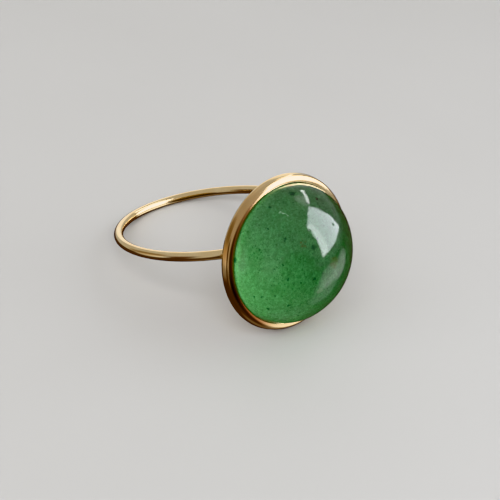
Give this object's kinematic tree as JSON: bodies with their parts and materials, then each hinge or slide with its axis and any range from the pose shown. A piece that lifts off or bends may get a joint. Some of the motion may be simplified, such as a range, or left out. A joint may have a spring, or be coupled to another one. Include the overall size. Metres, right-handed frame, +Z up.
{
  "type": "aventurine ring",
  "caption": "Ring with a thin round-wire gold band and a high-domed round green aventurine cabochon in a shallow round cup.",
  "frame": {"origin": "middle of the ring's box on the surface that it lies on, with the ring resting on the cup's lower edge and the far end of the band", "axes": "+Z up from that surface, +X towards the stone's dome and away from the band, +Y across the ring. The ring is the same on both sides of the XZ plane. The finger's axis leans from +Z towards -X by the resting tilt of 21.4 degrees"},
  "size_m": [0.0252, 0.02, 0.0136],
  "materials": {
    "gold": "polished yellow gold plate",
    "aventurine": "polished, slightly translucent green stone with fine dark flecks"
  },
  "bodies": {
    "root": {"setting": "gold", "cabochon": "aventurine"}
  },
  "joints": []
}
